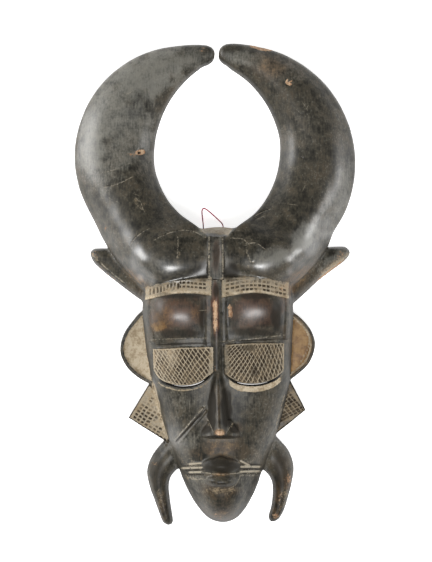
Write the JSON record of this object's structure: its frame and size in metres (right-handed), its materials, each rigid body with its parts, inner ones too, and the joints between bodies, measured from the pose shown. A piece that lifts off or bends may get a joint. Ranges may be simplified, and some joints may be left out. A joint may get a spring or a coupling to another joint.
{
  "type": "senufo kpelie mask",
  "caption": "Carved wooden face mask with a long narrow face, hatched eyelids, big crescent horns, side flanges and curved legs, hollow behind, with a thread loop to hang it by.",
  "frame": {"origin": "middle of the back plane that the mask lies on", "axes": "+Z out of the face, +Y from the chin towards the horns, +X to the right of a viewer who faces the mask"},
  "size_m": [0.2232, 0.384, 0.0719],
  "materials": {
    "carved_wood": "blackened and handled, half glossy, with pale clay rubbed into the hatching and bare wood at worn edges",
    "red_thread": "matt twisted thread"
  },
  "bodies": {
    "root": {"mask": "carved_wood", "hanging_loop": "red_thread", "thread_knot": "red_thread"}
  },
  "joints": []
}
